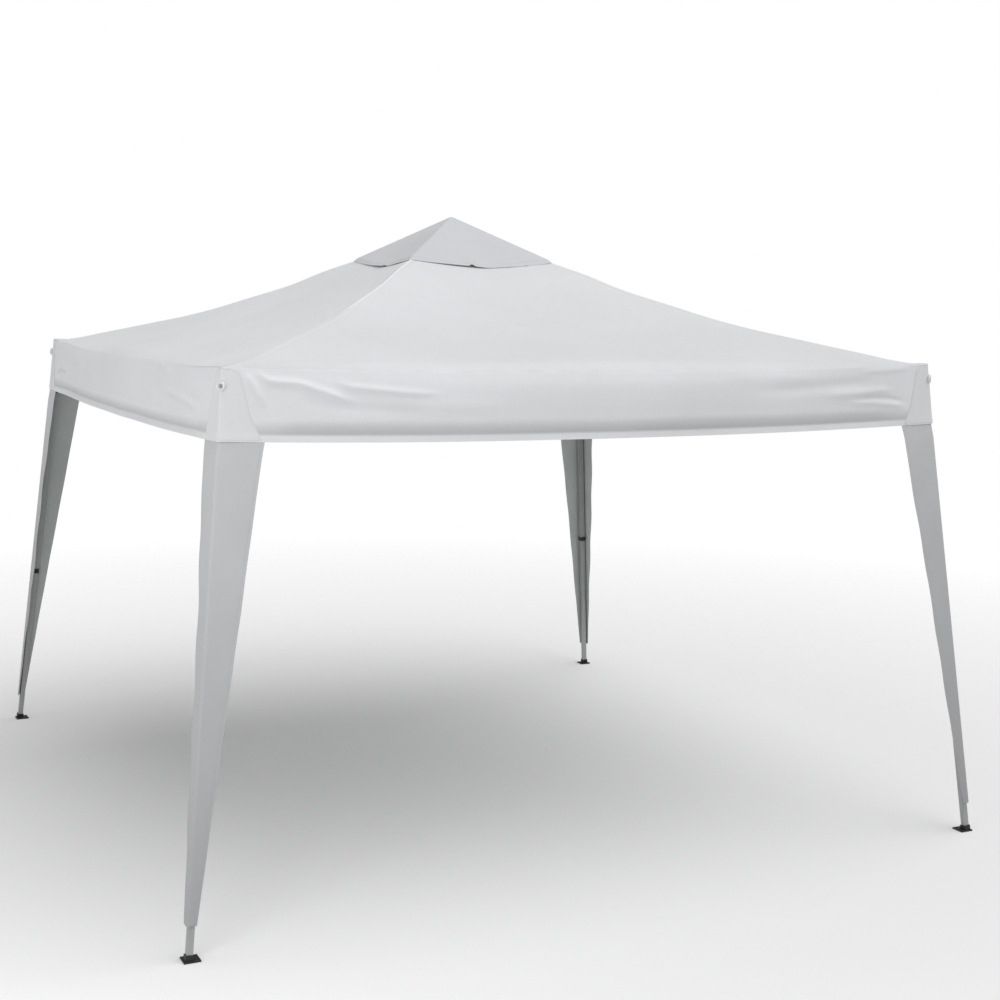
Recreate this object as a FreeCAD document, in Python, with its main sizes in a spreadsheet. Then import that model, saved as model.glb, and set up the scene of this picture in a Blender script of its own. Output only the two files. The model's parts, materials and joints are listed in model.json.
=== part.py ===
"""Pop-up gazebo with slanted legs, nominally 3 m between the feet: a folding steel frame and its canopy.

Row frame: +Z up, the ground at z = 0, the origin on the ground under the peak, +X right, +Y to the rear.
The frame is four alike sides. Side 0 is the front, and sides 1, 2 and 3 follow anticlockwise seen from
above: right, rear, left. Corner 0 joins side 0 to side 1: front right, then rear right, rear left and
front left. Every piece is drawn at the front or at the front left corner, and its Placement turns it
about +Z to its own side or corner.
"""

import FreeCAD, Part
import math
import os

from FreeCAD import Placement, Rotation, Vector

SIDES = ("front", "right", "rear", "left")
CORNERS = ("front_right", "rear_right", "rear_left", "front_left")
UP = Vector(0, 0, 1)

# Driving dimensions, in millimetres unless the note says otherwise.
DIMENSIONS = (
    ("foot_half_span", 1500.0, "leg axis to the middle plane, at the ground"),
    ("leg_lean", 0.101, "inward travel per millimetre of height, in each plane"),
    ("pivot_height", 1715.0, "height of every upper pivot"),
    ("truss_depth", 170.0, "upper pivot to lower pivot, open"),
    ("corner_reach", 60.0, "leg axis to a corner pivot"),
    ("hub_reach", 32.0, "side plane to the roof bar's outer pivot"),
    ("centre_reach", 28.0, "peak axis to the roof bar's inner pivot"),
    ("bar_depth", 20.0, "scissor bar, across its flat face"),
    ("bar_thick", 10.0, "scissor bar, through its flat face"),
    ("bar_wall", 1.0, "scissor bar's tube wall"),
    ("bar_layer", 6.5, "middle of a bar to the side plane"),
    ("boss_reach", 14.0, "solid metal each side of a pivot"),
    ("pin_radius", 3.95, "rivets and pivot pins"),
    ("hole_radius", 4.0, "holes for the rivets and pivot pins"),
    ("head_radius", 7.0, "rivet head"),
    ("head_thick", 2.0, "rivet head"),
    ("leg_width", 24.0, "upper leg tube, square"),
    ("foot_tube_width", 20.0, "lower leg tube, square"),
    ("leg_wall", 1.2, "both leg tubes"),
    ("leg_above", 28.0, "upper leg tube above its pivot"),
    ("leg_below", 1305.0, "upper leg tube below its pivot"),
    ("tube_overlap", 110.0, "lower tube held inside the upper one"),
    ("foot_plate", 52.0, "foot plate, square"),
    ("foot_thick", 5.0, "foot plate"),
    ("socket_width", 26.0, "foot socket, square"),
    ("socket_height", 20.0, "foot socket"),
    ("peg_radius", 4.5, "ground peg hole in the foot plate"),
    ("peg_offset", 20.0, "leg axis to the peg hole, inward in each plane"),
    ("pole_radius", 11.0, "peak pole"),
    ("pole_top", 2278.0, "height of the peak pole's knob"),
    ("button_radius", 6.0, "slider release button"),
    ("button_length", 14.0, "slider release button"),
    ("cloth_thick", 4.0, "canopy cloth, drawn thicker than it is"),
    ("cloth_reach", 20.0, "leg axis to the outside of the valance"),
    ("eave_height", 1760.0, "top of the valance"),
    ("valance_bottom", 1520.0, "bottom of the valance"),
    ("cover_bottom", 110.0, "bottom of the leg covers"),
    ("cover_top_width", 150.0, "leg cover's wing under the valance"),
    ("cover_foot_width", 34.0, "leg cover's wing at its bottom"),
    ("vent_half_width", 250.0, "opening of the roof under the vent cap"),
    ("cap_half_width", 300.0, "vent cap's lower edge"),
    ("cap_bottom", 2122.0, "vent cap's lower edge"),
    ("cap_top", 2298.0, "peak"),
)

# The roof's hollow slope: share of the way from the eave to the vent, and height above the eave.
ROOF_SLOPE = ((0.0, 0.0), (0.17, 48.0), (0.42, 130.0), (0.68, 230.0), (0.87, 312.0), (1.0, 366.0))

doc = FreeCAD.newDocument("pop_up_gazebo")
sheet = doc.addObject("Spreadsheet::Sheet", "dims")
for row, (alias, value, note) in enumerate(DIMENSIONS, start=1):
    sheet.set(f"A{row}", alias)
    sheet.set(f"B{row}", str(value))
    sheet.set(f"C{row}", note)
    sheet.setAlias(f"B{row}", alias)
doc.recompute()


def dim(alias):
    """A driving dimension, as a number."""
    return float(getattr(sheet, alias))


def bound(kind, placement=None, **sizes):
    """A primitive whose sizes are numbers or sheet expressions."""
    solid = doc.addObject(kind, "solid")
    for name, value in sizes.items():
        if isinstance(value, str):
            solid.setExpression(name, value)
        else:
            setattr(solid, name, value)
    if placement is not None:
        solid.Placement = placement
    return solid


def box(low, high):
    """A box between two corners."""
    size = Vector(*high) - Vector(*low)
    return bound("Part::Box", Placement(Vector(*low), Rotation()), Length=size.x, Width=size.y, Height=size.z)


def rod(start, end, radius):
    """A cylinder from start to end."""
    start, end = Vector(*start), Vector(*end)
    place = Placement(start, Rotation(UP, end - start))
    return bound("Part::Cylinder", place, Radius=radius, Height=(end - start).Length)


def rivet(start, end, head_back=0.0):
    """A pivot pin from start to end, with its head at the end."""
    start, end = Vector(*start), Vector(*end)
    way = (end - start).normalize()
    head_start = end - way * (dim("head_thick") + head_back)
    return [rod(start, end, "dims.pin_radius"), rod(head_start, end, "dims.head_radius")]


def fuse(*solids):
    joined = doc.addObject("Part::MultiFuse", "joined")
    joined.Shapes = list(solids)
    return joined


def cut(base, *tools):
    cut_solid = doc.addObject("Part::Cut", "cut_solid")
    cut_solid.Base = base
    cut_solid.Tool = tools[0] if len(tools) == 1 else fuse(*tools)
    return cut_solid


sub_parts = []


def sub_part(solid, label, placement):
    """Name a finished solid and put it in its place."""
    solid.Label = label
    solid.Placement = placement.multiply(solid.Placement)
    sub_parts.append(solid)


def turned(quarter_turns, placement=None):
    """A placement turned about the peak's axis by quarter turns."""
    turn = Placement(Vector(), Rotation(UP, 90 * quarter_turns))
    return turn if placement is None else turn.multiply(placement)


# Worked-out places, for the front and the front left corner.
PIVOT_Z = dim("pivot_height")
LOWER_Z = PIVOT_Z - dim("truss_depth")
PIVOT_HALF_SPAN = dim("foot_half_span") - dim("leg_lean") * PIVOT_Z
BAR_SPAN = PIVOT_HALF_SPAN - dim("corner_reach")
BAR_LENGTH = math.hypot(BAR_SPAN, dim("truss_depth"))
BAR_TILT = math.degrees(math.atan2(dim("truss_depth"), BAR_SPAN))
LEAN = dim("leg_lean")
LEAN_TILT = math.degrees(math.atan(math.sqrt(2) * LEAN))
CORNER_TOP = Vector(-PIVOT_HALF_SPAN, -PIVOT_HALF_SPAN, PIVOT_Z)
CORNER_LOW = Vector(-PIVOT_HALF_SPAN, -PIVOT_HALF_SPAN, LOWER_Z)
LEG_TURN = Rotation(Vector(-1, 1, 0), LEAN_TILT)
HALF_DEPTH = dim("bar_depth") / 2
HALF_THICK = dim("bar_thick") / 2
PIN_END = 2 * dim("bar_layer") + HALF_THICK + 0.5 + dim("head_thick")


def leg_half_span(z):
    """Distance of a leg's axis from a middle plane, at a height."""
    return dim("foot_half_span") - LEAN * z


def flat_bar(pivots, pin_at=None, pin_side=1):
    """A flattened tube along +X from its first pivot to its last one, with closed ends.

    pin_at is the place of its own rivet, which stands out to pin_side of it; the other pivots are holes.
    """
    body = bound("Part::Box", Placement(Vector(0, -HALF_THICK, -HALF_DEPTH), Rotation()),
                 Length=BAR_LENGTH, Width="dims.bar_thick", Height="dims.bar_depth")
    ends = [rod((x, -HALF_THICK, 0), (x, HALF_THICK, 0), "dims.bar_depth / 2") for x in (0, BAR_LENGTH)]
    hollows = []
    boss, wall = dim("boss_reach"), dim("bar_wall")
    for near, far in zip(pivots, pivots[1:]):
        low = (near + boss, wall - HALF_THICK, wall - HALF_DEPTH)
        high = (far - boss, HALF_THICK - wall, HALF_DEPTH - wall)
        hollows.append(box(low, high))
    holes = [rod((x, -HALF_DEPTH, 0), (x, HALF_DEPTH, 0), "dims.hole_radius") for x in pivots if x != pin_at]
    bar = cut(fuse(body, *ends), *hollows, *holes)
    if pin_at is None:
        return bar
    return fuse(bar, *rivet((pin_at, 0, 0), (pin_at, pin_side * PIN_END, 0)))


def bar_place(start, end):
    """The placement that lays a bar from start to end, in the plane of the front."""
    along = (end - start).normalize()
    across = Vector(0, 1, 0)
    return Placement(start, Rotation(along, across, along.cross(across), "XYZ"))


def make_side_bars(side):
    """Two crossed pairs of bars, one to each corner: long ones rise to a hub, falling ones to a corner."""
    outer, inner = -PIVOT_HALF_SPAN - dim("bar_layer"), -PIVOT_HALF_SPAN + dim("bar_layer")
    half = BAR_LENGTH / 2
    pivots = (0, half, BAR_LENGTH)
    for hand, sign, hub_layer, corner_layer, inward in (("left", -1, outer, inner, 1), ("right", 1, inner, outer, -1)):
        hub_end = Vector(0, hub_layer, PIVOT_Z)
        slider_end = Vector(sign * BAR_SPAN, hub_layer, LOWER_Z)
        corner_end = Vector(sign * BAR_SPAN, corner_layer, PIVOT_Z)
        middle_end = Vector(0, corner_layer, LOWER_Z)
        name = f"{SIDES[side]}_{hand}"
        hub_bar = flat_bar(pivots, half, inward)
        sub_part(hub_bar, f"hub_bar_{name}", turned(side, bar_place(hub_end, slider_end)))
        corner_bar = flat_bar(pivots, BAR_LENGTH, 1) if hand == "right" else flat_bar(pivots)
        sub_part(corner_bar, f"corner_bar_{name}", turned(side, bar_place(corner_end, middle_end)))


def make_roof_bar(side):
    """The bar from a side's hub down to the centre hub, on the side's middle plane."""
    start = Vector(0, -PIVOT_HALF_SPAN + dim("hub_reach"), PIVOT_Z)
    end = Vector(0, -dim("centre_reach"), LOWER_Z)
    along = (end - start).normalize()
    across = Vector(1, 0, 0)
    place = Placement(start, Rotation(along, across, along.cross(across), "XYZ"))
    bar = flat_bar((0, BAR_LENGTH))
    sub_part(bar, f"roof_bar_{SIDES[side]}", turned(side, place))


def make_side_hub(side):
    """The hub at the middle of a side: one pin for both bars, and a fork for the roof bar."""
    plane = -PIVOT_HALF_SPAN
    plate = box((-22, plane + 13, PIVOT_Z - 18), (22, plane + 19, PIVOT_Z + 11))
    pin = rivet((0, plane + 13, PIVOT_Z), (0, plane - HALF_THICK - dim("bar_layer") - 2.5, PIVOT_Z))
    fork_y = plane + dim("hub_reach")
    cheeks = [box((x, plane + 18, PIVOT_Z - 11), (x + 5, fork_y + 12, PIVOT_Z + 11)) for x in (-11, 6)]
    roof_pin = rod((-11, fork_y, PIVOT_Z), (11, fork_y, PIVOT_Z), "dims.pin_radius")
    hub = fuse(plate, *pin, *cheeks, roof_pin)
    sub_part(hub, f"side_hub_{SIDES[side]}", turned(side))


def make_centre_hub():
    """Four forks on a round plate, under the peak pole."""
    reach = dim("centre_reach")
    plate = rod((0, 0, LOWER_Z - 22), (0, 0, LOWER_Z - 12), 40)
    core = box((-13, -13, LOWER_Z - 14), (13, 13, LOWER_Z + 14))
    cheeks = []
    for x in (-11, 6):
        cheeks.append(box((x, -reach - 10, LOWER_Z - 13), (x + 5, reach + 10, LOWER_Z + 9)))
        cheeks.append(box((-reach - 10, x, LOWER_Z - 13), (reach + 10, x + 5, LOWER_Z + 9)))
    pins = [rod((-11, y, LOWER_Z), (11, y, LOWER_Z), "dims.pin_radius") for y in (-reach, reach)]
    pins += [rod((x, -11, LOWER_Z), (x, 11, LOWER_Z), "dims.pin_radius") for x in (-reach, reach)]
    sub_part(fuse(plate, core, *cheeks, *pins), "centre_hub", Placement())


def make_peak_pole():
    """The pole that holds up the peak, with a domed knob under the cap."""
    foot = LOWER_Z + 14
    neck = dim("pole_top") - dim("pole_radius")
    tube = rod((0, 0, foot), (0, 0, neck), "dims.pole_radius")
    bore = rod((0, 0, foot + 8), (0, 0, neck - 8), "dims.pole_radius - dims.leg_wall")
    knob = bound("Part::Sphere", Placement(Vector(0, 0, neck), Rotation()), Radius="dims.pole_radius")
    sub_part(fuse(cut(tube, bore), knob), "peak_pole", Placement())


def make_corner_bracket(corner):
    """The moulding at a leg's top: two walls behind the leg, two lugs for the bars, and the leg's pin."""
    reach = dim("corner_reach") + 10
    walls = [box((14.6, -12.3, -22), (20, 20, 22)), box((-12.3, 14.6, -22), (20, 20, 22))]
    lugs = [box((17, -8.5, -11), (reach, 0, 11)), box((0, 17, -11), (8.5, reach, 11))]
    pin_start = dim("corner_reach")
    pins = rivet((pin_start, -8, 0), (pin_start, 14, 0)) + rivet((8, pin_start, 0), (-14, pin_start, 0))
    leg_pin = rod((-13.5, 13.5, 0), (13.5, -13.5, 0), 3.0)
    bracket = fuse(*walls, *lugs, *pins, leg_pin)
    sub_part(bracket, f"corner_bracket_{CORNERS[corner]}", turned(corner + 1, Placement(CORNER_TOP, Rotation())))


def make_slider(corner):
    """The sliding jaw that carries the lower bar ends, and its release button."""
    reach = dim("corner_reach") + 10
    jaws = [box((-1, -29, -22), (6, 8, 22)), box((-29, -1, -22), (8, 6, 22))]
    lugs = [box((0, 0, -11), (reach, 8.5, 11)), box((-8.5, 0, -11), (0, reach, 11))]
    pin_start = dim("corner_reach")
    pins = rivet((pin_start, 8, 0), (pin_start, -14, 0)) + rivet((-8, pin_start, 0), (14, pin_start, 0))
    boss = box((-1, 6, -14), (28, 28, 14))
    button_bore = rod((12, 18, 0), (29, 18, 0), "dims.button_radius + 0.08")
    place = turned(corner + 1, Placement(CORNER_LOW, Rotation()))
    sub_part(cut(fuse(*jaws, *lugs, *pins, boss), button_bore), f"slider_{CORNERS[corner]}", place)
    button_start = 18.0
    stem = rod((button_start, 18, 0), (button_start + dim("button_length"), 18, 0), "dims.button_radius")
    sub_part(stem, f"slider_button_{CORNERS[corner]}", place)


def square_tube(width, bottom, top):
    """A square tube about the leg's own axis, from bottom to top along it."""
    half, wall = width / 2, dim("leg_wall")
    bore = half - wall
    return cut(box((-half, -half, bottom), (half, half, top)), box((-bore, -bore, bottom - 1), (bore, bore, top + 1)))


def make_leg(corner):
    """The upper tube, which turns on the bracket's pin, and the lower tube that slides in it."""
    place = turned(corner + 1, Placement(CORNER_TOP, LEG_TURN))
    upper = square_tube(dim("leg_width"), -dim("leg_below"), dim("leg_above"))
    pin_hole = rod((-20, 20, 0), (20, -20, 0), 3.06)
    sub_part(cut(upper, pin_hole), f"leg_upper_{CORNERS[corner]}", place)
    to_ground = PIVOT_Z / math.cos(math.radians(LEAN_TILT))
    lower = square_tube(dim("foot_tube_width"), 10 - to_ground, dim("tube_overlap") - dim("leg_below"))
    sub_part(lower, f"leg_lower_{CORNERS[corner]}", place)


def make_foot(corner):
    """A flat plate with a peg hole, and the socket that the lower tube stands in."""
    axis = -dim("foot_half_span")
    thick, half, inward = dim("foot_thick"), dim("foot_plate") / 2, 8.0
    plate = box((axis - half + inward, axis - half + inward, 0), (axis + half + inward, axis + half + inward, thick))
    socket = box((-dim("socket_width") / 2,) * 2 + (0,), (dim("socket_width") / 2,) * 2 + (dim("socket_height"),))
    socket.Placement = Placement(Vector(axis, axis, 1), LEG_TURN).multiply(socket.Placement)
    bore_half = dim("foot_tube_width") / 2 + 0.1
    bore = box((-bore_half, -bore_half, 9.5), (bore_half, bore_half, 60))
    bore.Placement = Placement(Vector(axis, axis, 0), LEG_TURN).multiply(bore.Placement)
    peg = axis + dim("peg_offset") + 4
    peg_hole = rod((peg, peg, -1), (peg, peg, 70), "dims.peg_radius")
    below = box((axis - 60, axis - 60, -30), (axis + 60, axis + 60, 0))
    foot = cut(fuse(plate, socket), bore, peg_hole, below)
    sub_part(foot, f"foot_{CORNERS[corner]}", turned(corner + 1))


def shaped(label, shape, placement):
    """A sub-part whose cloth shape is drawn point by point from the sheet's sizes."""
    feature = doc.addObject("Part::Feature", "cloth")
    feature.Shape = shape
    sub_part(feature, label, placement)


def roof_points():
    """(distance from the middle plane, height) of the roof's top, from the eave to the vent."""
    eave = leg_half_span(dim("eave_height")) + dim("cloth_reach") - 1
    run = eave - dim("vent_half_width")
    return [(eave - share * run, dim("eave_height") + rise) for share, rise in ROOF_SLOPE]


def make_roof_panel(side):
    """One of the four hollow roof slopes, cut along the hips with a narrow gap."""
    top = roof_points()
    thick = dim("cloth_thick")
    outline = [Vector(0, -y, z) for y, z in top] + [Vector(0, -y, z - thick) for y, z in reversed(top)]
    face = Part.Face(Part.makePolygon(outline + outline[:1]))
    wide = top[0][0]
    slab = face.extrude(Vector(2 * wide, 0, 0))
    slab.translate(Vector(-wide, 0, 0))
    gap = 2.0
    wedge = [Vector(0, -gap, 0), Vector(-2 * wide, -2 * wide - gap, 0), Vector(2 * wide, -2 * wide - gap, 0)]
    prism = Part.Face(Part.makePolygon(wedge + wedge[:1])).extrude(Vector(0, 0, 3000))
    shaped(f"roof_{SIDES[side]}", slab.common(prism).Solids[0], turned(side))


def corner_section(z, reach, wing_end):
    """An L of cloth round a corner at a height, with wings to wing_end from the middle planes."""
    out, thick = -(leg_half_span(z) + reach), dim("cloth_thick")
    points = [(out, out), (wing_end, out), (wing_end, out + thick), (out + thick, out + thick),
              (out + thick, wing_end), (out, wing_end)]
    vectors = [Vector(x, y, z) for x, y in points]
    return Part.makePolygon(vectors + vectors[:1])


def make_skirt(corner):
    """A corner's half valances and the leg cover sewn under them."""
    reach = dim("cloth_reach")
    top_z = dim("eave_height") - dim("cloth_thick") - 2
    bottom_z, foot_z = dim("valance_bottom"), dim("cover_bottom")
    valance = Part.makeLoft([corner_section(top_z, reach, -1), corner_section(bottom_z, reach, -1)], True, True)
    ends = ((bottom_z + 12, dim("cover_top_width")), (foot_z, dim("cover_foot_width")))
    sections = [corner_section(z, reach - 1.5, wing - leg_half_span(z) - reach) for z, wing in ends]
    skirt = valance.fuse(Part.makeLoft(sections, True, True)).removeSplitter()
    shaped(f"skirt_{CORNERS[corner]}", skirt.Solids[0], turned(corner + 1))


def make_vent_cap():
    """The small hollow pyramid that covers the roof's vent."""
    def square(half, z):
        corners = [Vector(x * half, y * half, z) for x, y in ((-1, -1), (1, -1), (1, 1), (-1, 1))]
        return Part.makePolygon(corners + corners[:1])

    low, high, wide = dim("cap_bottom"), dim("cap_top"), dim("cap_half_width")
    outer = Part.makeLoft([square(wide, low), square(6, high)], True, True)
    drop = dim("cloth_thick") * 1.2
    inner = Part.makeLoft([square(wide, low - drop), square(6, high - drop)], True, True)
    shaped("vent_cap", outer.cut(inner).Solids[0], Placement())


for index in range(4):
    make_side_bars(index)
    make_roof_bar(index)
    make_side_hub(index)
    make_corner_bracket(index)
    make_slider(index)
    make_leg(index)
    make_foot(index)
    make_roof_panel(index)
    make_skirt(index)
make_centre_hub()
make_peak_pole()
make_vent_cap()
doc.recompute()

for item in doc.Objects:
    if {"Invalid", "Error"} & set(item.State):
        raise RuntimeError(f"{item.Label} did not rebuild: {item.State}")
os.makedirs("parts", exist_ok=True)
for item in sub_parts:
    if item.Shape.isNull() or not item.Shape.isValid():
        raise RuntimeError(f"{item.Label} has no valid shape")
    item.Shape.exportStep(f"parts/{item.Label}.step")
print(f"{len(sub_parts)} sub-parts, bar length {BAR_LENGTH:.1f}, bar tilt {BAR_TILT:.3f}, leg tilt {LEAN_TILT:.3f}")
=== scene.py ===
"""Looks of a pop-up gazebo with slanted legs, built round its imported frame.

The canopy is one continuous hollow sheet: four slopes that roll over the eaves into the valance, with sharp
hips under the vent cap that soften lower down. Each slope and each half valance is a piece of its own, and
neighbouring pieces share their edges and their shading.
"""

import json
import math

import bpy
import numpy as np
from mathutils import Matrix, Vector


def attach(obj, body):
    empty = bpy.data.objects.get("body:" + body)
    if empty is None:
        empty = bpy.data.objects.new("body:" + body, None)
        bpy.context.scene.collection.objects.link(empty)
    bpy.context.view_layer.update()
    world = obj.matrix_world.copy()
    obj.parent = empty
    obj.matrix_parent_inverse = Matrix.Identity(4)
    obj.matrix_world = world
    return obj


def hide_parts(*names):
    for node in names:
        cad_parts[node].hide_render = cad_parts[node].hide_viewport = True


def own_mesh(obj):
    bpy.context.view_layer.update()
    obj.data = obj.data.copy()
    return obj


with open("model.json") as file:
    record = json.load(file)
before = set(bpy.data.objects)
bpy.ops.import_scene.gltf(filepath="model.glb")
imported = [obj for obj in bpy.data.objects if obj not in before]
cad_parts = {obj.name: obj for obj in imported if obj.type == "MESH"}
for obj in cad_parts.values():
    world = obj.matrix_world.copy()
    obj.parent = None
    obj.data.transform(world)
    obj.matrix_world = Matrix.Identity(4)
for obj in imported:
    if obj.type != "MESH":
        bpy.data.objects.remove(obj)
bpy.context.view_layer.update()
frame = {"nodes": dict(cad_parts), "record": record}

SIDES = ("front", "right", "rear", "left")
CORNERS = ("front_right", "rear_right", "rear_left", "front_left")

# Cloth sizes, in metres.
CLOTH, PATCH_CLOTH = 0.0012, 0.0009
HEM = 0.023
SEAM_OUT, SEAM_RISE = 0.017, 0.0012
# How far the valance draws in just above its hem, over what height, and how much of it the hem takes back.
DRAW_DEPTH, DRAW_HEIGHT, HEM_RETURN = 0.0225, 0.047, 0.36

# Slopes as (half width of the square at this level, height), from the vent's edge to the eave.
HIP_SLOPE = ((0.250, 2.130), (0.300, 2.115), (0.345, 2.096), (0.396, 2.073), (0.423, 2.059), (0.497, 2.019),
             (0.550, 1.995), (0.605, 1.973), (0.705, 1.934), (0.877, 1.878), (1.011, 1.841), (1.167, 1.797),
             (1.260, 1.769), (1.315, 1.760), (1.341, 1.763))
MID_SLOPE = ((0.250, 2.111), (0.300, 2.092), (0.345, 2.072), (0.396, 2.050), (0.423, 2.038), (0.497, 2.003),
             (0.550, 1.981), (0.605, 1.960), (0.705, 1.925), (0.877, 1.871), (1.011, 1.836), (1.130, 1.808),
             (1.220, 1.787), (1.292, 1.765), (1.335, 1.737))
# The valance, from the eave to its lower edge: upright at the corners, rolled in and out again between them.
CORNER_DROP = ((1.341, 1.763), (1.3445, 1.735), (1.350, 1.680), (1.356, 1.610), (1.3625, 1.540))
MID_DROP = ((1.335, 1.737), (1.3525, 1.700), (1.3605, 1.650), (1.3600, 1.600), (1.3570, 1.551), (1.3570, 1.517))


class Material:
    """A node material put together in a few calls."""

    def __init__(self, name, roughness=0.6, metallic=0.0, sheen=0.0):
        self.data = bpy.data.materials.new(name)
        self.data.use_nodes = True
        self.tree = self.data.node_tree
        self.shader = self.tree.nodes["Principled BSDF"]
        self.shader.inputs["Roughness"].default_value = roughness
        self.shader.inputs["Metallic"].default_value = metallic
        self.shader.inputs["Sheen Weight"].default_value = sheen
        self.place = self.tree.nodes.new("ShaderNodeTexCoord").outputs["Object"]
        self.uv = self.tree.nodes.new("ShaderNodeUVMap").outputs["UV"]
        self.normal = None

    def link(self, source, target):
        self.tree.links.new(source, target)

    def math(self, operation, *values):
        node = self.tree.nodes.new("ShaderNodeMath")
        node.operation = operation
        for socket, value in zip(node.inputs, values):
            if isinstance(value, (int, float)):
                socket.default_value = value
            else:
                self.link(value, socket)
        return node.outputs[0]

    def split(self, source):
        """The three parts of a vector."""
        node = self.tree.nodes.new("ShaderNodeSeparateXYZ")
        self.link(source, node.inputs[0])
        return node.outputs

    def noise(self, scale, detail=3.0, roughness=0.5, stretch=(1, 1, 1), distortion=0.0):
        mapping = self.tree.nodes.new("ShaderNodeMapping")
        mapping.inputs["Scale"].default_value = stretch
        self.link(self.place, mapping.inputs["Vector"])
        node = self.tree.nodes.new("ShaderNodeTexNoise")
        node.inputs["Scale"].default_value = scale
        node.inputs["Detail"].default_value = detail
        node.inputs["Roughness"].default_value = roughness
        node.inputs["Distortion"].default_value = distortion
        self.link(mapping.outputs[0], node.inputs["Vector"])
        return node.outputs["Fac"]

    def remap(self, value, low, high, out_low=0.0, out_high=1.0):
        node = self.tree.nodes.new("ShaderNodeMapRange")
        for name, number in (("From Min", low), ("From Max", high), ("To Min", out_low), ("To Max", out_high)):
            node.inputs[name].default_value = number
        self.link(value, node.inputs["Value"])
        return node.outputs[0]

    def mix(self, share, first, second):
        node = self.tree.nodes.new("ShaderNodeMix")
        node.data_type = "RGBA"
        for socket, value in ((node.inputs[0], share), (node.inputs[6], first), (node.inputs[7], second)):
            if isinstance(value, (int, float)):
                socket.default_value = value
            elif isinstance(value, tuple):
                socket.default_value = (*value, 1)
            else:
                self.link(value, socket)
        return node.outputs[2]

    def bump(self, height, distance, strength=1.0):
        node = self.tree.nodes.new("ShaderNodeBump")
        node.inputs["Distance"].default_value = distance
        node.inputs["Strength"].default_value = strength
        self.link(height, node.inputs["Height"])
        if self.normal is not None:
            self.link(self.normal, node.inputs["Normal"])
        self.normal = node.outputs[0]

    def finish(self, base, roughness=None):
        if isinstance(base, tuple):
            self.shader.inputs["Base Color"].default_value = (*base, 1)
        else:
            self.link(base, self.shader.inputs["Base Color"])
        if roughness is not None:
            self.link(roughness, self.shader.inputs["Roughness"])
        if self.normal is not None:
            self.link(self.normal, self.shader.inputs["Normal"])
        return self.data


def stitch_rows(material, rows):
    """Height of stitch lines that run along the cloth at these distances from its sewn edge (the UV's V)."""
    along, across, _ = material.split(material.uv)
    dash = material.math("PINGPONG", along, 0.0035)
    dash = material.remap(dash, 0.0006, 0.0013)
    lines = None
    for row in rows:
        off = material.math("ABSOLUTE", material.math("SUBTRACT", across, row))
        line = material.remap(off, 0.0012, 0.0003)
        lines = line if lines is None else material.math("MAXIMUM", lines, line)
    return material.math("MULTIPLY", lines, dash), lines


def weave(material, pitch, depth):
    """A plain weave: threads over and under each other, in the UV's metres."""
    along, across, _ = material.split(material.uv)
    turn = math.pi / pitch
    warp = material.math("SINE", material.math("MULTIPLY", along, turn))
    weft = material.math("SINE", material.math("MULTIPLY", across, turn))
    material.bump(material.math("MULTIPLY", warp, weft), depth)


def cloth_material(name, base, shade, rows=(), roughness=0.62, shade_below=0.0, welt=0.0, shade_band=None):
    """Coated polyester: a close weave, faint handling marks and stitch lines in a slightly darker thread.

    Below a given height, painted shade makes it greyer towards the ground. Within the welt's reach of a sewn
    edge, several layers of cloth shine paler. A band of painted shade lies above the edge, from one distance
    above it to another.
    """
    made = Material(name, roughness=roughness, sheen=0.15)
    mottle = made.noise(2.2, detail=4, roughness=0.55)
    fine = made.noise(38, detail=3)
    tone = made.mix(made.remap(mottle, 0.35, 0.68), base, shade)
    tone = made.mix(made.remap(fine, 0.3, 0.75, 0.0, 0.10), tone, tuple(0.9 * c for c in shade))
    crush = made.noise(14, detail=5, roughness=0.6, stretch=(1, 1, 1.6), distortion=0.8)
    made.bump(crush, 0.0022, 0.35)
    height, from_edge = made.split(made.place)[2], made.split(made.uv)[1]
    # Painted shade: below the given height the cloth turns greyer towards the ground, for light falling off
    # down the leg.
    if shade_below:
        tone = made.mix(made.remap(height, shade_below, 0.0), tone, tuple(0.52 * c for c in base))
    if welt:
        sewn = made.remap(from_edge, welt + 0.001, welt - 0.001)
        tone = made.mix(sewn, tone, tuple(1.10 * c for c in base))
    # Painted shade: a darker band above the lower edge, where the valance draws in over its hem.
    if shade_band:
        low, high = shade_band
        band_mask = made.math("MINIMUM", made.remap(from_edge, low - 0.004, low + 0.002),
                         made.remap(from_edge, high, low + 0.004))
        tone = made.mix(made.math("MULTIPLY", band_mask, 0.65), tone, tuple(0.55 * c for c in base))
    if rows:
        stitches, lines = stitch_rows(made, rows)
        tone = made.mix(made.math("MULTIPLY", lines, 0.16), tone, tuple(0.55 * c for c in base))
        made.bump(stitches, 0.0006)
        made.bump(made.math("MULTIPLY", lines, -1.0), 0.0008)
    weave(made, 0.0011, 0.00012)
    return made.finish(tone, made.remap(fine, 0.2, 0.8, roughness - 0.06, roughness + 0.08))


def steel_material(name, base, speckle):
    """Powder-coated steel: faint orange peel, and thin scuffs along the tube."""
    made = Material(name, roughness=0.42, metallic=0.25)
    peel = made.noise(900, detail=2)
    scuff = made.noise(60, detail=4, stretch=(1, 1, 0.08))
    made.bump(peel, 0.00015, 0.6)
    tone = made.mix(made.remap(scuff, 0.60, 0.72, 0.0, 0.5), base, speckle)
    return made.finish(tone, made.remap(scuff, 0.3, 0.7, 0.36, 0.52))


def plastic_material(name, base, roughness=0.5):
    """Moulded nylon: a fine spark-eroded grain with paler rubbed patches."""
    made = Material(name, roughness=roughness)
    grain = made.noise(1400, detail=2)
    rub = made.noise(45, detail=4)
    made.bump(grain, 0.00012, 0.7)
    tone = made.mix(made.remap(rub, 0.55, 0.8, 0.0, 0.35), base, tuple(min(1, 2.2 * c + 0.03) for c in base))
    return made.finish(tone, made.remap(rub, 0.3, 0.75, roughness - 0.08, roughness + 0.1))


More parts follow.
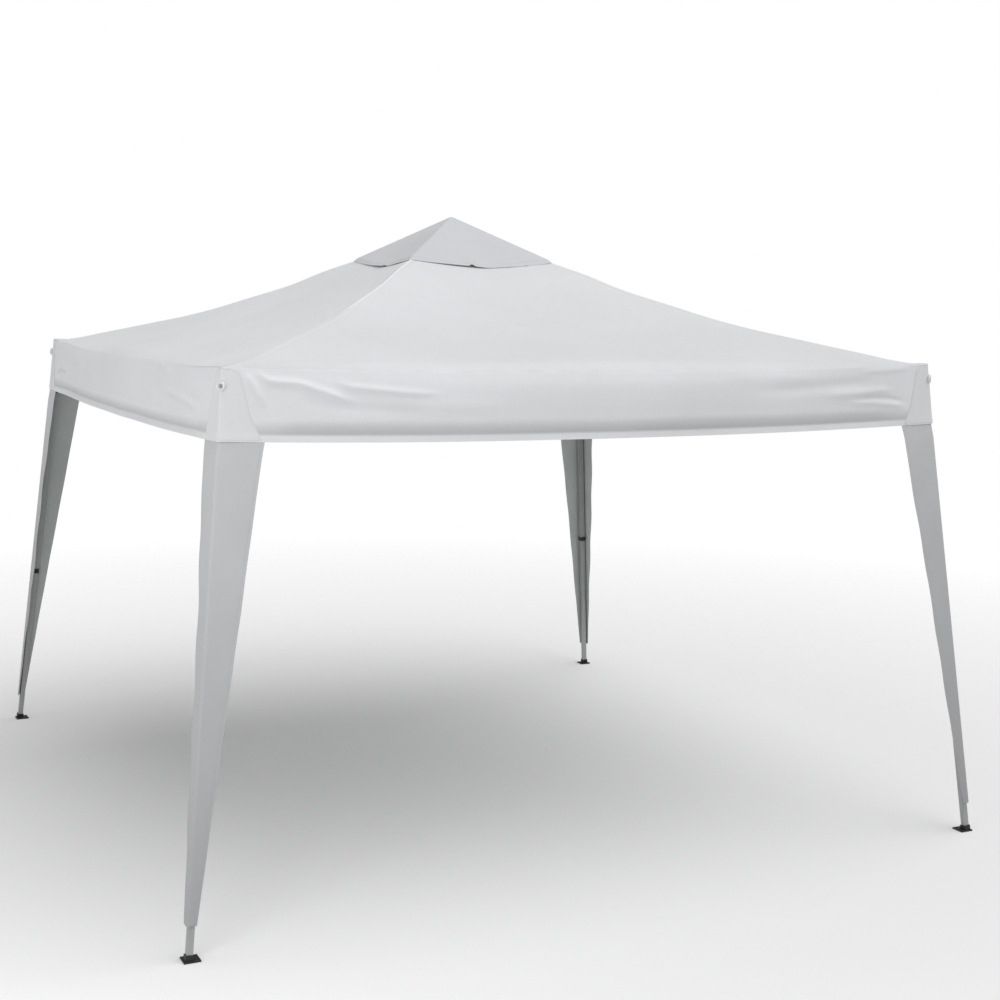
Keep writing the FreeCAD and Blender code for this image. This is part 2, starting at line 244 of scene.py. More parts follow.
def webbing_material(name, base):
    """Woven strap: ribs across the band."""
    made = Material(name, roughness=0.8, sheen=0.3)
    rib = made.noise(700, detail=2, stretch=(1, 1, 3))
    made.bump(rib, 0.0004)
    return made.finish(made.mix(made.remap(rib, 0.35, 0.7), base, tuple(1.8 * c + 0.01 for c in base)))


OUTSIDE = (0.800, 0.808, 0.832)
OUTSIDE_SHADE = (0.755, 0.772, 0.788)
# Painted shade: the vent cap's colours are the canopy's cloth drawn darker.
CAP = (0.680, 0.690, 0.715)
CAP_SHADE = (0.635, 0.650, 0.670)
COVER = (0.590, 0.594, 0.608)
COVER_SHADE = (0.545, 0.556, 0.562)
# Painted shade: the corner patches' colours are the canopy's cloth drawn a little darker.
PATCH = (0.765, 0.773, 0.796)
PATCH_SHADE = (0.725, 0.740, 0.757)
INSIDE = (0.48, 0.505, 0.495)
INSIDE_SHADE = (0.41, 0.435, 0.425)
cloth_roof = cloth_material("canopy_outside", OUTSIDE, OUTSIDE_SHADE, rows=(0.0125,), welt=0.0070)
# The valance's colour carries a band of painted shade above its hem.
cloth_valance = cloth_material("valance_outside", OUTSIDE, OUTSIDE_SHADE, rows=(HEM - 0.003,),
                               shade_band=(HEM, HEM + 0.040))
cloth_patch = cloth_material("patch_outside", PATCH, PATCH_SHADE, rows=(0.004,))
cloth_cap = cloth_material("vent_cap_outside", CAP, CAP_SHADE, rows=(0.014,))
cloth_inside = cloth_material("cloth_inside", INSIDE, INSIDE_SHADE, roughness=0.5)
cloth_cover = cloth_material("leg_cover_outside", COVER, COVER_SHADE, rows=(0.010,), shade_below=1.5)
steel = steel_material("coated_steel", (0.34, 0.345, 0.35), (0.46, 0.465, 0.47))
bar_steel = steel_material("coated_bar", (0.40, 0.405, 0.41), (0.52, 0.525, 0.53))
black_plastic = plastic_material("black_nylon", (0.016, 0.016, 0.017))
foot_plastic = plastic_material("foot_nylon", (0.012, 0.012, 0.013), 0.6)
red_plastic = plastic_material("button_nylon", (0.30, 0.02, 0.018), 0.4)
black_webbing = webbing_material("black_strap", (0.008, 0.008, 0.009))
eyelet_metal = steel_material("eyelet_nickel", (0.74, 0.74, 0.73), (0.86, 0.86, 0.86))
SLOT_MATERIALS = {"bar_steel": bar_steel, "leg_steel": steel, "joint_plastic": black_plastic,
                  "foot_plastic": foot_plastic, "button_plastic": red_plastic}


def turn_about_peak(quarter_turns):
    return Matrix.Rotation(quarter_turns * math.pi / 2, 3, "Z")


def smooth(x):
    x = np.clip(x, 0, 1)
    return x * x * (3 - 2 * x)


def curve_through(points, count, shares=None):
    """count points along a smooth curve through the points, evenly spaced along it or at these shares of it."""
    knots = np.array(points, float)
    step = np.r_[0, np.cumsum(np.linalg.norm(np.diff(knots, axis=0), axis=1))]
    tangent = np.gradient(knots, step, axis=0)
    fine = np.linspace(0, step[-1], 40 * len(knots))
    i = np.clip(np.searchsorted(step, fine, side="right") - 1, 0, len(step) - 2)
    gap = (step[i + 1] - step[i])[:, None]
    t = ((fine - step[i])[:, None]) / gap
    line = ((2 * t**3 - 3 * t**2 + 1) * knots[i] + (t**3 - 2 * t**2 + t) * gap * tangent[i]
            + (3 * t**2 - 2 * t**3) * knots[i + 1] + (t**3 - t**2) * gap * tangent[i + 1])
    run = np.r_[0, np.cumsum(np.linalg.norm(np.diff(line, axis=0), axis=1))]
    want = run[-1] * (np.linspace(0, 1, count) if shares is None else shares)
    return np.stack([np.interp(want, run, line[:, k]) for k in range(line.shape[1])], axis=1)


def grid_normals(points):
    """Unit normals of a grid of points, rows by columns by 3."""
    down = np.gradient(points, axis=0)
    right = np.gradient(points, axis=1)
    normal = np.cross(down, right)
    return normal / np.maximum(np.linalg.norm(normal, axis=2, keepdims=True), 1e-12)


def in_scene(name, mesh):
    """An object of the scene with this mesh."""
    made = bpy.data.objects.new(name, mesh)
    bpy.context.scene.collection.objects.link(made)
    return made


def sheet_object(name, points, normals, uv, outside, inside, thickness=CLOTH):
    """A closed thin sheet from a grid: its outer face on the points, its inner face behind them, and edges."""
    rows, columns = points.shape[:2]
    outer = points.reshape(-1, 3)
    inner = (points - thickness * normals).reshape(-1, 3)
    index = np.arange(rows * columns).reshape(rows, columns)
    a, b, c, d = index[:-1, :-1], index[1:, :-1], index[1:, 1:], index[:-1, 1:]
    front = np.stack([a, b, c, d], axis=2).reshape(-1, 4)
    back = front[:, ::-1] + rows * columns
    edge = np.concatenate([index[0, ::-1], index[1:, 0], index[-1, 1:], index[-2::-1, -1]])
    pairs = np.stack([edge[:-1], edge[1:]], axis=1)
    low, high = pairs[:, 0], pairs[:, 1]
    rim = np.stack([high, low, low + rows * columns, high + rows * columns], axis=1)
    faces = np.concatenate([front, back, rim])
    mesh = bpy.data.meshes.new(name)
    mesh.from_pydata(np.concatenate([outer, inner]).tolist(), [], faces.tolist())
    for material in (outside, inside):
        mesh.materials.append(material)
    slots = np.zeros(len(faces), np.int32)
    slots[len(front):len(front) + len(back)] = 1
    mesh.polygons.foreach_set("material_index", slots)
    loops = faces.reshape(-1)
    layer = mesh.uv_layers.new(name="UVMap")
    layer.data.foreach_set("uv", np.concatenate([uv.reshape(-1, 2)] * 2)[loops].astype(np.float32).ravel())
    flat = normals.reshape(-1, 3)
    loop_normals = np.concatenate([flat, -flat])[loops]
    corners = np.concatenate([outer, inner])[rim]
    rim_normal = np.cross(corners[:, 1] - corners[:, 0], corners[:, 2] - corners[:, 1])
    rim_normal /= np.maximum(np.linalg.norm(rim_normal, axis=1, keepdims=True), 1e-12)
    loop_normals[-4 * len(rim):] = np.repeat(rim_normal, 4, axis=0)
    mesh.polygons.foreach_set("use_smooth", np.ones(len(faces), bool))
    mesh.update()
    mesh.normals_split_custom_set(loop_normals.tolist())
    return in_scene(name, mesh)


# Tension folds: the line of each as (from the corner along the side, below the eave), its width and its height.
FRONT_FOLDS = (
    (((0.085, 0.006), (0.150, 0.040), (0.245, 0.046), (0.400, 0.092), (0.470, 0.112)), 0.0105, 0.0118),
    (((0.066, 0.012), (0.105, 0.062), (0.150, 0.126)), 0.0120, 0.0085),
    (((0.345, 0.028), (0.405, 0.052), (0.495, 0.060), (0.630, 0.070), (0.750, 0.072)), 0.0105, 0.0085),
    (((0.220, 0.086), (0.340, 0.112), (0.520, 0.124), (0.700, 0.128)), 0.0180, -0.0045),
    (((0.500, 0.100), (0.750, 0.110), (0.980, 0.112)), 0.0220, 0.0030),
)
RIGHT_CORNER_FOLDS = (
    (((0.078, 0.008), (0.130, 0.017), (0.226, 0.018), (0.330, 0.021)), 0.0100, 0.0042),
    (((0.230, 0.052), (0.414, 0.061), (0.630, 0.073), (0.820, 0.077)), 0.0200, -0.0060),
    (((0.165, 0.088), (0.287, 0.093), (0.400, 0.098), (0.520, 0.101)), 0.0135, 0.0065),
    (((0.120, 0.136), (0.189, 0.122), (0.254, 0.115), (0.390, 0.117)), 0.0080, -0.0048),
    (((0.110, 0.155), (0.188, 0.144), (0.284, 0.133), (0.410, 0.129)), 0.0105, 0.0055),
    (((0.500, 0.030), (0.700, 0.028), (0.950, 0.020)), 0.0240, 0.0030),
)
LEFT_CORNER_FOLDS = (
    (((0.800, 0.004), (0.640, 0.020), (0.550, 0.036)), 0.0120, 0.0055),
    (((0.660, 0.062), (0.400, 0.088), (0.216, 0.112), (0.130, 0.130)), 0.0135, 0.0080),
    (((0.660, 0.086), (0.370, 0.120), (0.187, 0.152)), 0.0110, -0.0050),
    (((0.420, 0.020), (0.240, 0.052), (0.120, 0.086)), 0.0150, 0.0040),
    (((0.720, 0.120), (0.950, 0.105)), 0.0200, 0.0035),
)
# The folds at each side's left and right end.
SIDE_FOLDS = {"front": (FRONT_FOLDS, RIGHT_CORNER_FOLDS), "right": (LEFT_CORNER_FOLDS, FRONT_FOLDS),
              "rear": (RIGHT_CORNER_FOLDS, LEFT_CORNER_FOLDS), "left": (RIGHT_CORNER_FOLDS, LEFT_CORNER_FOLDS)}


def fold_height(along, below, folds):
    """Height of the folds at a place given from the corner along the side and below the eave."""
    height = np.zeros_like(along)
    for line, width, rise in folds:
        line = np.array(line)
        lengths = np.linalg.norm(np.diff(line, axis=0), axis=1)
        nearest, share = np.full_like(along, 9.0), np.zeros_like(along)
        for start, end, length, before in zip(line[:-1], line[1:], lengths, np.r_[0, np.cumsum(lengths)]):
            way = (end - start) / length
            t = np.clip((along - start[0]) * way[0] + (below - start[1]) * way[1], 0, length)
            off = np.hypot(along - start[0] - t * way[0], below - start[1] - t * way[1])
            share = np.where(off < nearest, (before + t) / lengths.sum(), share)
            nearest = np.minimum(nearest, off)
        taper = smooth(share / 0.22) * smooth((1 - share) / 0.35)
        height += rise * taper * np.exp(-((nearest / width) ** 2))
    return height


ROOF_ROWS, DROP_ROWS = 78, 42
SEAM_COLUMNS = (0.0, 0.0035, 0.0065, 0.0080, 0.0125, 0.0165, 0.0185, 0.026)


def column_shares():
    """Columns from the middle of a side to its right end: (share of the width, distance from the end)."""
    even = np.r_[np.linspace(0, 0.45, 36)[:-1], np.linspace(0.45, 0.975, 118)]
    shares = np.r_[even, np.ones(len(SEAM_COLUMNS))]
    ends = np.r_[np.full(len(even), SEAM_COLUMNS[-1]), SEAM_COLUMNS[::-1]]
    ends[:len(even)] *= even
    return np.r_[-shares[:0:-1], shares], np.r_[ends[:0:-1], ends]


def drop_shares():
    """Rows of the valance from the eave down, closer together round the top of the hem."""
    upper, lower = np.linspace(0, 0.66, DROP_ROWS - 16), np.linspace(0.66, 0.91, 13)
    return np.r_[upper[:-1], lower[:-1], np.linspace(0.91, 1, 5)]


def canopy_side(side):
    """The grid of one side, from the vent to the valance's lower edge, as the front: points and UVs."""
    name = SIDES[side]
    corner = np.concatenate([curve_through(HIP_SLOPE, ROOF_ROWS),
                             curve_through(CORNER_DROP, DROP_ROWS, drop_shares())[1:]])
    middle = np.concatenate([curve_through(MID_SLOPE, ROOF_ROWS),
                             curve_through(MID_DROP, DROP_ROWS, drop_shares())[1:]])
    share, end = column_shares()
    rows = len(corner)
    row_share = np.r_[np.linspace(0, 1, ROOF_ROWS), 1 + drop_shares()[1:]]
    sag = 1 - np.abs(share) ** (1.3 + smooth(row_share / 0.3))[:, None]
    half_width, z_corner = corner[:, :1], corner[:, 1:]
    out = half_width * (1 - sag) + middle[:, :1] * sag
    z = z_corner * (1 - sag) + middle[:, 1:] * sag
    x = np.sign(share) * (np.abs(share) * half_width - np.abs(end)) * np.ones((rows, 1))
    # The hips are sharp under the cap, round lower down, and sharp again over the corner mouldings.
    round_off = 0.004 + 0.11 * smooth((row_share - 0.36) / 0.28) * smooth((0.985 - row_share) / 0.22)
    round_off = round_off[:, None] + 0.010 * smooth((row_share[:, None] - 1) * 8)
    near = np.clip(1 - (half_width - np.abs(x)) / round_off, 0, 1)
    turn = near * math.pi / 4
    inward = 0.55 * round_off * (1 - np.cos(turn))
    x = x - np.sign(x) * inward
    y = -(out - inward)
    points = np.stack([x, y, z * np.ones_like(x)], axis=2)
    # A slack belly in each slope, and the folds that run from the corners.
    normals = grid_normals(points)
    from_left, from_right = half_width + x, half_width - x
    below = np.r_[np.zeros(1), np.cumsum(np.linalg.norm(np.diff(corner, axis=0), axis=1))]
    below = (below - below[ROOF_ROWS - 1])[:, None] * np.ones_like(x)
    left_folds, right_folds = SIDE_FOLDS[name]
    height = fold_height(from_left, below, left_folds) + fold_height(from_right, below, right_folds)
    wave = np.sin(7.1 * x + 2.3 * side + 9 * below) * np.sin(3.3 * x - 1.7 * side)
    height += 0.0022 * wave * smooth((below + 0.5) * 2)
    edge = smooth((from_left - 0.045) / 0.05) * smooth((from_right - 0.045) / 0.05)
    lower = smooth((below[-1, 0] - below) / 0.03)
    height = height * edge * (0.35 + 0.65 * lower)
    seam = smooth((end - 0.0035) / 0.003) * smooth((SEAM_OUT + 0.0015 - end) / 0.002)
    ridge = np.exp(-((end / 0.0055) ** 2)) * smooth((0.56 - row_share[:, None]) / 0.20)
    height += np.where(np.abs(share) > 0.999, SEAM_RISE * seam + 0.0046 * ridge, 0) * (row_share[:, None] < 1)
    # The cloth draws in above the hem, which is stiffer and stands out again.
    above_hem = below[-1, 0] - HEM - below
    returned = 1 - HEM_RETURN * np.abs(above_hem) / HEM
    drawn = np.where(above_hem > 0, smooth(1 - above_hem / DRAW_HEIGHT), returned)
    clear = smooth((from_left - 0.115) / 0.22) * smooth((from_right - 0.115) / 0.22)
    clear = clear * (1 - 0.30 * np.exp(-((x / 0.10) ** 2)))
    uneven = 0.85 + 0.15 * np.sin(4.3 * x + 1.1 + 2.1 * side)
    height -= DRAW_DEPTH * drawn * clear * uneven * (row_share[:, None] > 1)
    points = points + height[:, :, None] * normals
    hem = smooth((below - (below[-1, 0] - HEM)) / 0.002) * 0.0007
    points = points + hem[:, :, None] * normals
    uv = np.stack([x, np.where(row_share[:, None] < 1, half_width - np.abs(x), below[-1, 0] - below)], axis=2)
    return points, uv


def as_side(side, points):
    return points @ np.array(turn_about_peak(side)).T


def blended_normals(points, side_points_next, side_points_last):
    """Normals of a side's grid, shared with its neighbours along the hips and corners."""
    normals = grid_normals(points)
    for column, other, other_column in ((-1, side_points_next, 0), (0, side_points_last, -1)):
        shared = normals[:, column] + grid_normals(other)[:, other_column]
        normals[:, column] = shared / np.linalg.norm(shared, axis=1, keepdims=True)
    return normals


def make_canopy():
    """The roof's four slopes and the eight half valances; returns each side's grid, drawn as the front."""
    grids = [canopy_side(side) for side in range(4)]
    placed = [as_side(side, points) for side, (points, _) in enumerate(grids)]
    eave = ROOF_ROWS - 1
    for side, name in enumerate(SIDES):
        points, uv = placed[side], grids[side][1]
        normals = blended_normals(points, placed[(side + 1) % 4], placed[side - 1])
        middle = points.shape[1] // 2
        out = turn_about_peak(side) @ Vector((0, -1, 0))
        roof = sheet_object(f"canopy_{name}", points[:eave + 1], normals[:eave + 1], uv[:eave + 1],
                            cloth_roof, cloth_inside)
        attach(roof, f"roof_{name}")
        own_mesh(roof)
        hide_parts(f"roof_{name}")
        halves = (("left", slice(0, middle + 1), CORNERS[side - 1], -1),
                  ("right", slice(middle, None), CORNERS[side], 1))
        for hand, columns, corner, sign in halves:
            part = points[eave:, columns]
            half = sheet_object(f"valance_{name}_{hand}", part, normals[eave:, columns], uv[eave:, columns],
                                cloth_valance, cloth_inside)
            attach(half, f"corner_{corner}")
            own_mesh(half)
            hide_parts(f"skirt_{corner}")
    return [points for points, _ in grids]


CANOPY = make_canopy()


def on_valance(points, along, below):
    """Places and normals on a side's valance at distances from its right corner and below the eave."""
    drop = points[ROOF_ROWS - 1:]
    run = np.r_[0, np.cumsum(np.linalg.norm(np.diff(drop[:, -1], axis=0), axis=1))]
    columns = np.arange(drop.shape[1] // 2, drop.shape[1])
    normals = grid_normals(points)[ROOF_ROWS - 1:]
    places, facing = np.empty(along.shape + (3,)), np.empty(along.shape + (3,))
    for i, depth in enumerate(below[:, 0]):
        row = np.interp(depth, run, np.arange(len(run)))
        k = min(int(row), len(run) - 2)
        blend = row - k
        line = (drop[k] * (1 - blend) + drop[k + 1] * blend)[columns]
        turned = (normals[k] * (1 - blend) + normals[k + 1] * blend)[columns]
        from_corner = np.r_[0, np.cumsum(np.linalg.norm(np.diff(line[::-1], axis=0), axis=1))]
        for axis in range(3):
            places[i, :, axis] = np.interp(along[i], from_corner, line[::-1, axis])
            facing[i, :, axis] = np.interp(along[i], from_corner, turned[::-1, axis])
    facing /= np.linalg.norm(facing, axis=2, keepdims=True)
    return places, facing


def make_corner_patches():
    """The doubled cloth over each corner, from a round top at the eave to the leg cover, in two halves."""
    rows, columns = 56, 26
    top, bottom, head = 0.004, 0.219, 0.034
    below = np.r_[top + (head - top) * (1 - np.cos(np.linspace(0, math.pi / 2, 18)))[:-1],
                  np.linspace(head, bottom, rows - 17)]
    outline = np.interp(below, (head, 0.070, 0.126, 0.160, bottom), (0.060, 0.072, 0.090, 0.102, 0.134))
    arch = np.sqrt(np.clip(1 - ((head - below) / (head - top)) ** 2, 0, 1))
    width = np.maximum(np.where(below < head, outline[17] * arch, outline), 0.003)
    for side, name in enumerate(SIDES):
        for hand, mirror in (("right", 1), ("left", -1)):
            points = CANOPY[side] if mirror > 0 else CANOPY[side][:, ::-1] * np.array([-1, 1, 1])
            corner = CORNERS[side] if mirror > 0 else CORNERS[side - 1]
            along = width[:, None] * np.linspace(0, 1, columns)[None, :]
            places, facing = on_valance(points, along, below[:, None] * np.ones((1, columns)))
            facing[:, 0, 1] = -np.abs(facing[:, 0]).max(axis=1)
            facing[:, 0, 0] = -facing[:, 0, 1]
            facing[:, 0] /= np.linalg.norm(facing[:, 0], axis=1, keepdims=True)
            places = places + 0.0013 * facing
            rim = np.minimum(along[:, -1:] - along, below[:, None] - top)
            uv = np.stack([below[:, None] * np.ones_like(along), rim], axis=2)
            if mirror < 0:
                places, facing = places * np.array([-1, 1, 1]), facing * np.array([-1, 1, 1])
            else:
                places, facing, uv = places[:, ::-1], facing[:, ::-1], uv[:, ::-1]
            places, facing = as_side(side, places), as_side(side, facing)
            piece = sheet_object(f"corner_patch_{name}_{hand}", places, facing, uv, cloth_patch, cloth_inside,
                                 PATCH_CLOTH)
            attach(piece, f"corner_{corner}")
            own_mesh(piece)


make_corner_patches()


def revolved(name, profile, steps, placing, material):
    """A solid of revolution about the placing's Z axis, from (radius, height) pairs along its outline."""
    vertices, faces = [], []
    for radius, height in profile:
        for i in range(steps):
            turn = 2 * math.pi * i / steps
            vertices.append(placing @ Vector((radius * math.cos(turn), radius * math.sin(turn), height)))
    for k in range(len(profile) - 1):
        for i in range(steps):
            j = (i + 1) % steps
            faces.append((k * steps + i, k * steps + j, (k + 1) * steps + j, (k + 1) * steps + i))
    faces.append(tuple(range(steps))[::-1])
    faces.append(tuple(range((len(profile) - 1) * steps, len(profile) * steps)))
    mesh = bpy.data.meshes.new(name)
    mesh.from_pydata(vertices, [], faces)
    mesh.polygons.foreach_set("use_smooth", np.ones(len(faces), bool))
    mesh.materials.append(material)
    return in_scene(name, mesh)


def make_corner_eyelets():
    """A pale cup washer and its steel screw on each corner's edge, which fasten the canopy to the frame."""
    size = 1.3
    cup = ((0.0006, -0.0075), (0.0100, -0.0075), (0.0116, -0.0060), (0.0120, -0.0030), (0.0112, -0.0006),
           (0.0094, 0.0004), (0.0072, 0.0002), (0.0058, -0.0010), (0.0050, -0.0026), (0.0006, -0.0028))
    screw = ((0.0004, -0.0032), (0.0036, -0.0032), (0.0038, -0.0014), (0.0030, -0.0006), (0.0016, -0.0003),
             (0.0012, -0.0012), (0.0004, -0.0013))
    for corner, name in enumerate(CORNERS):
        edge = CANOPY[corner][ROOF_ROWS - 1:, -1]
        run = np.r_[0, np.cumsum(np.linalg.norm(np.diff(edge, axis=0), axis=1))]
        place = Vector([float(np.interp(0.058, run, edge[:, k])) for k in range(3)])
        outward = Vector((1, -1, 0.02)).normalized()
        side = Vector((0, 0, 1)).cross(outward).normalized()
        up = outward.cross(side)
        spin = turn_about_peak(corner).to_4x4()
        place = place + 0.0068 * outward
        placing = spin @ Matrix(((side.x, up.x, outward.x, place.x), (side.y, up.y, outward.y, place.y),
                                 (side.z, up.z, outward.z, place.z), (0, 0, 0, 1))) @ Matrix.Scale(size, 4)
        eyelet = revolved(f"corner_eyelet_{name}", cup, 40, placing, eyelet_metal)
        for piece in (eyelet, revolved(f"corner_screw_{name}", screw, 24, placing, steel)):
            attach(piece, f"corner_{name}")


make_corner_eyelets()


def make_vent_cap():
    """Four triangles of the cap over the vent, with a hem and slightly slack lower edges."""
    half, top, brim = 0.305, 2.2985, 0.012
    straight_end = 2.1240
    rows, columns = 60, 121
    down = np.linspace(0, 1, rows) ** 0.9
    share = np.linspace(-1, 1, columns)
    # Height of the lower edge at places along each side, left to right: it sags and gapes between its corners.
    edges = {
        "front": ((-1, 2.1178), (-0.75, 2.1103), (-0.50, 2.1051), (-0.24, 2.1003), (-0.14, 2.0993),
                  (0.0, 2.0948), (0.42, 2.0998), (0.75, 2.1083), (1, 2.1188)),
        "right": ((-1, 2.1188), (-0.60, 2.1053), (-0.10, 2.0993), (0.25, 2.1008), (0.70, 2.1083), (1, 2.1188)),
        "rear": ((-1, 2.1188), (-0.70, 2.1083), (-0.20, 2.0988), (0.35, 2.0993), (0.72, 2.1098), (1, 2.1188)),
        "left": ((-1, 2.1188), (-0.76, 2.1093), (-0.44, 2.1023), (0.09, 2.0978), (0.30, 2.0978), (0.55, 2.1053),
                 (1, 2.1178)),
    }
    # Creases that run up from the gapes: side, where on the edge, lean, height.
    creases = (("front", -0.16, -0.50, 0.0033), ("front", -0.16, 0.05, 0.0027), ("front", -0.13, 0.55, 0.0030),
               ("front", 0.62, 0.30, 0.0021), ("left", 0.12, -0.60, 0.0027), ("left", 0.16, 0.40, 0.0024),
               ("left", -0.45, -0.25, 0.0021), ("right", -0.08, 0.45, 0.0027), ("rear", 0.20, -0.40, 0.0027))
    grids = []
    for side, name in enumerate(SIDES):
        width = (0.004 + (half - 0.004) * down)[:, None]
        belly = 1 - share**2
        shape = curve_through([(1.0, where, height) for where, height in edges[name]], 400)
        low = np.interp(share, shape[:, 1], shape[:, 2])
        straight = top + (straight_end - top) * down[:, None]
        turned_down = smooth((width - half + brim) / brim)
        slack = smooth((down[:, None] - 0.10) / 0.90) ** 1.25
        sag = (straight_end - low) * (belly * slack + (1 - belly) * turned_down)
        z = straight - sag
        for where, middle, lean, height in creases:
            if where == name:
                line = share - (middle + lean * (1 - down[:, None]))
                z = z + height * np.exp(-((line / 0.020) ** 2)) * smooth((down[:, None] - 0.74) / 0.17)
        x = share * width
        y = -(width + 0.002 * belly * down[:, None] ** 4)
        points = np.stack([x, y * np.ones_like(x), z], axis=2)
        uv = np.stack([x, (1 - down)[:, None] * 0.35 * np.ones_like(x)], axis=2)
        grids.append((as_side(side, points), uv))
    for side, name in enumerate(SIDES):
        points, uv = grids[side]
        gore = sheet_object(f"vent_cap_{name}", points, grid_normals(points), uv, cloth_cap, cloth_inside)
        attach(gore, f"roof_{name}")
        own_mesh(gore)
        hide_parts("vent_cap")


make_vent_cap()

LEG_LEAN = 0.101
FOOT_HALF_SPAN = 1.5


def leg_axis(z):
    """Distance of a leg's axis from the middle planes at a height."""
    return FOOT_HALF_SPAN - LEG_LEAN * z


def make_leg_cover(corner):
    """A tapered cover of two wings, sewn under the valance's corner and open towards the inside."""
    name = CORNERS[corner]
    rows, wing_columns, bend_columns = 70, 18, 9
    top, bottom, reach, fold = 1.552, 0.110, 0.0185, 0.010
    narrow, wide = 0.032, 0.146
    z = np.linspace(top, bottom, rows)
    wing = np.interp(z, (bottom, top), (narrow, wide))
    out = leg_axis(z) + np.interp(z, (1.49, 1.54), (reach, reach - 0.0028))
    angle = np.linspace(0, math.pi / 2, bend_columns)
    points = []
    for level in range(rows):
        o, w = out[level], wing[level]
        inward = np.linspace(w, fold, wing_columns)[:-1]
        slack = smooth((1.50 - z[level]) / 0.3)
        flutter = 0.004 * math.sin(5.2 * z[level] + corner) * smooth((inward - 0.03) / 0.10) * slack
        wave = np.sin(23 * z[level] + 30 * inward + 2 * corner)
        flutter = flutter + 0.0018 * wave * smooth((inward - 0.02) / 0.05) * slack
        left = np.stack([-o + flutter, -o + inward], axis=1)
        bend = np.stack([-o + fold - fold * np.cos(angle), -o + fold - fold * np.sin(angle)], axis=1)
        right = np.stack([-o + inward[::-1], -o - flutter[::-1]], axis=1)
        points.append(np.concatenate([left, bend, right]))
    flat = np.array(points)
    grid = np.concatenate([flat, (z[:, None] * np.ones(flat.shape[1]))[:, :, None]], axis=2)
    along = np.r_[0, np.cumsum(np.linalg.norm(np.diff(flat[0], axis=0), axis=1))]
    edge = np.minimum(along, along[-1] - along)[None, :] * (wing / wing[0])[:, None]
    uv = np.stack([z[:, None] * np.ones_like(edge), edge], axis=2)
    placed = grid @ np.array(turn_about_peak(corner + 1)).T
    cover = sheet_object(f"leg_cover_{name}", placed, grid_normals(placed), uv, cloth_cover, cloth_inside)
    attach(cover, f"leg_upper_{name}")
    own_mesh(cover)
    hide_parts(f"skirt_{name}")


for corner_index in range(4):
    make_leg_cover(corner_index)


def dress_frame():
    """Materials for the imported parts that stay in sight."""
    slots = {part["node"]: part["material_slot"] for part in frame["record"]["subparts"]}
    for name, part in frame["nodes"].items():
        material = SLOT_MATERIALS.get(slots[name])
        if material is None:
            continue
        part.data.materials.clear()
        part.data.materials.append(material)


dress_frame()


def make_strap(corner):
    """The black band that ties a leg cover to its tube, inside the cover."""
    name = CORNERS[corner]
    height, width, half, thick = 0.703, 0.020, 0.0135, 0.0016
    spin = turn_about_peak(corner + 1)
    lean = Matrix.Rotation(math.atan(math.sqrt(2) * LEG_LEAN), 3, Vector((-1, 1, 0)))
    angles = np.linspace(0, 2 * math.pi, 49)[:-1]
    ring = np.stack([np.cos(angles), np.sin(angles)], axis=1)
    ring = ring / np.maximum(np.abs(ring).max(axis=1, keepdims=True), 1e-9)
    ring = np.where(np.abs(ring).min(axis=1, keepdims=True) > 0.93, ring * 0.96, ring)
    vertices, faces = [], []
    profile = ((half, -width / 2), (half + thick, -width / 2), (half + thick, width / 2), (half, width / 2))
    for size, level in profile:
        for x, y in ring * size:
            local = lean @ Vector((x, y, level))
            centre = Vector((-leg_axis(height), -leg_axis(height), height))
            vertices.append(spin @ (local + centre))
    count = len(ring)
    for k in range(4):
        for i in range(count):
            j = (i + 1) % count
            faces.append((k * count + i, k * count + j, (k + 1) % 4 * count + j, (k + 1) % 4 * count + i))
    mesh = bpy.data.meshes.new(f"strap_{name}")
    mesh.from_pydata(vertices, [], faces)
    mesh.materials.append(black_webbing)
    strap = in_scene(f"strap_{name}", mesh)
    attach(strap, f"leg_upper_{name}")


for corner_index in range(4):
    make_strap(corner_index)


AMBIENT = 0.40
OVERHEAD = 1.85
KEY = 28
SIDE_FILL = 110


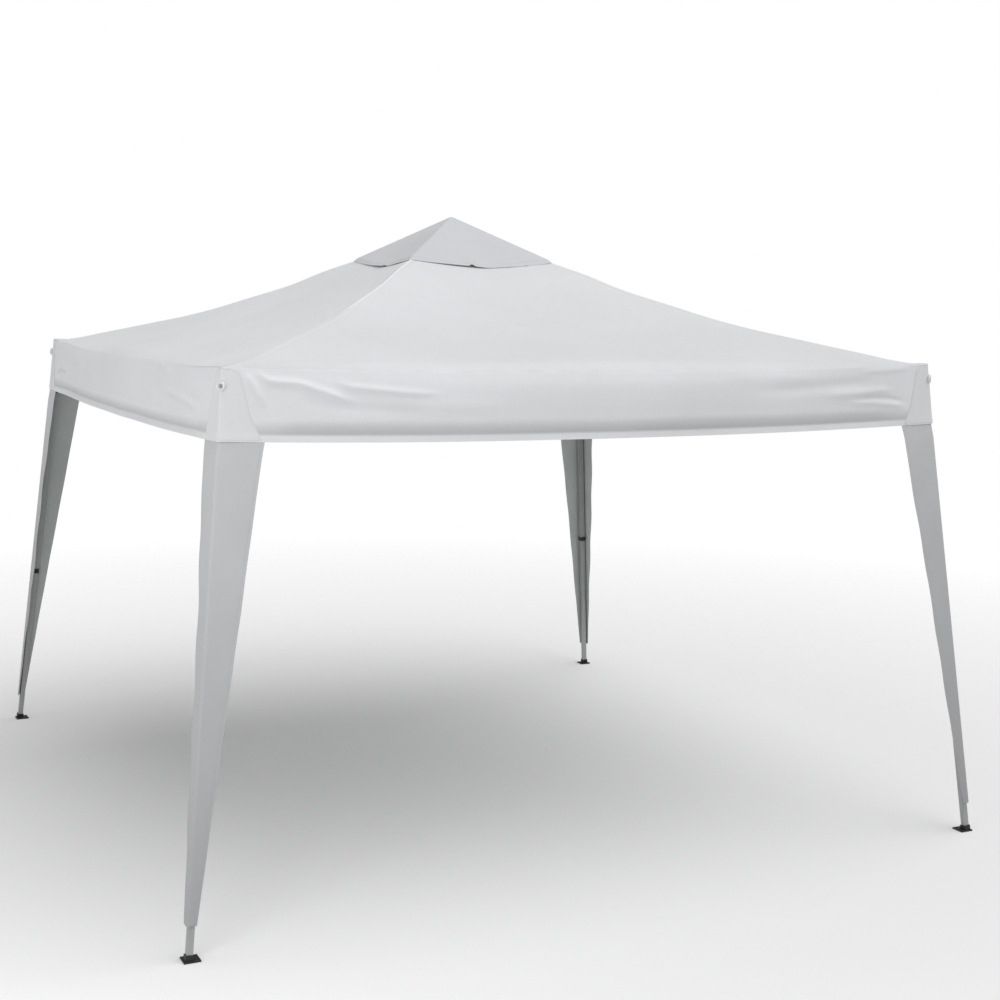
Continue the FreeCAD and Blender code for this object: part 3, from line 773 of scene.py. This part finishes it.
def make_stage():
    """A pale floor that fades into a white surround, and soft light from above and from the front left."""
    floor_mesh = bpy.data.meshes.new("floor")
    reach = 60.0
    floor_mesh.from_pydata([(-reach, -reach, 0), (reach, -reach, 0), (reach, reach, 0), (-reach, reach, 0)], [],
                           [(0, 1, 2, 3)])
    floor = in_scene("floor", floor_mesh)
    pale = Material("pale_floor", roughness=0.9)
    reach_out = pale.tree.nodes.new("ShaderNodeVectorMath")
    reach_out.operation = "LENGTH"
    pale.link(pale.place, reach_out.inputs[0])
    fade = pale.remap(reach_out.outputs["Value"], 2.3, 6.5)
    clear = pale.tree.nodes.new("ShaderNodeBsdfTransparent")
    blend = pale.tree.nodes.new("ShaderNodeMixShader")
    pale.link(fade, blend.inputs[0])
    pale.link(pale.shader.outputs[0], blend.inputs[1])
    pale.link(clear.outputs[0], blend.inputs[2])
    pale.link(blend.outputs[0], pale.tree.nodes["Material Output"].inputs["Surface"])
    floor_mesh.materials.append(pale.finish((0.87, 0.87, 0.87)))
    # The surround looks white, and lights the object less than that.
    world = bpy.data.worlds.new("studio")
    world.use_nodes = True
    nodes, links = world.node_tree.nodes, world.node_tree.links
    seen = nodes.new("ShaderNodeLightPath")
    strength = nodes.new("ShaderNodeMapRange")
    strength.inputs["To Min"].default_value = AMBIENT
    strength.inputs["To Max"].default_value = 1.0
    links.new(seen.outputs["Is Camera Ray"], strength.inputs["Value"])
    links.new(strength.outputs[0], nodes["Background"].inputs["Strength"])
    nodes["Background"].inputs["Color"].default_value = (1, 1, 1, 1)
    bpy.context.scene.world = world
    bpy.context.scene.view_settings.view_transform = "Standard"
    lamps = (("overhead", "SUN", (3.6, -3.3, 9.9), math.radians(75), OVERHEAD),
             ("key", "AREA", (-3.4, -3.6, 1.6), 1.6, KEY),
             ("side_fill", "AREA", (-8.0, 0.5, 1.5), 3.0, SIDE_FILL))
    for name, kind, place, size, power in lamps:
        lamp = bpy.data.lights.new(name, kind)
        lamp.energy = power
        if kind == "SUN":
            lamp.angle = size
        else:
            lamp.size = size
        light = bpy.data.objects.new(name, lamp)
        light.location = place
        light.visible_camera = False
        light.rotation_mode = "QUATERNION"
        light.rotation_quaternion = (Vector((0, 0, 1.2)) - Vector(place)).to_track_quat("-Z", "Y")
        bpy.context.scene.collection.objects.link(light)


def make_camera():
    """Eye height a little under the peak, seen from the front left corner's side."""
    yaw, pitch, roll = math.radians(25.99), math.radians(-7.29), math.radians(0.94)
    ahead = Vector((math.sin(yaw) * math.cos(pitch), math.cos(yaw) * math.cos(pitch), math.sin(pitch)))
    level = Vector((math.cos(yaw), -math.sin(yaw), 0))
    up = level.cross(ahead)
    right = math.cos(roll) * level + math.sin(roll) * up
    head = -math.sin(roll) * level + math.cos(roll) * up
    data = bpy.data.cameras.new("camera")
    data.lens = 57.4
    data.sensor_width = 36.0
    camera = bpy.data.objects.new("camera", data)
    camera.matrix_world = Matrix((
        (right.x, head.x, -ahead.x, -2.676),
        (right.y, head.y, -ahead.y, -5.981),
        (right.z, head.z, -ahead.z, 1.985),
        (0, 0, 0, 1)))
    bpy.context.scene.collection.objects.link(camera)
    bpy.context.scene.camera = camera


make_stage()
make_camera()
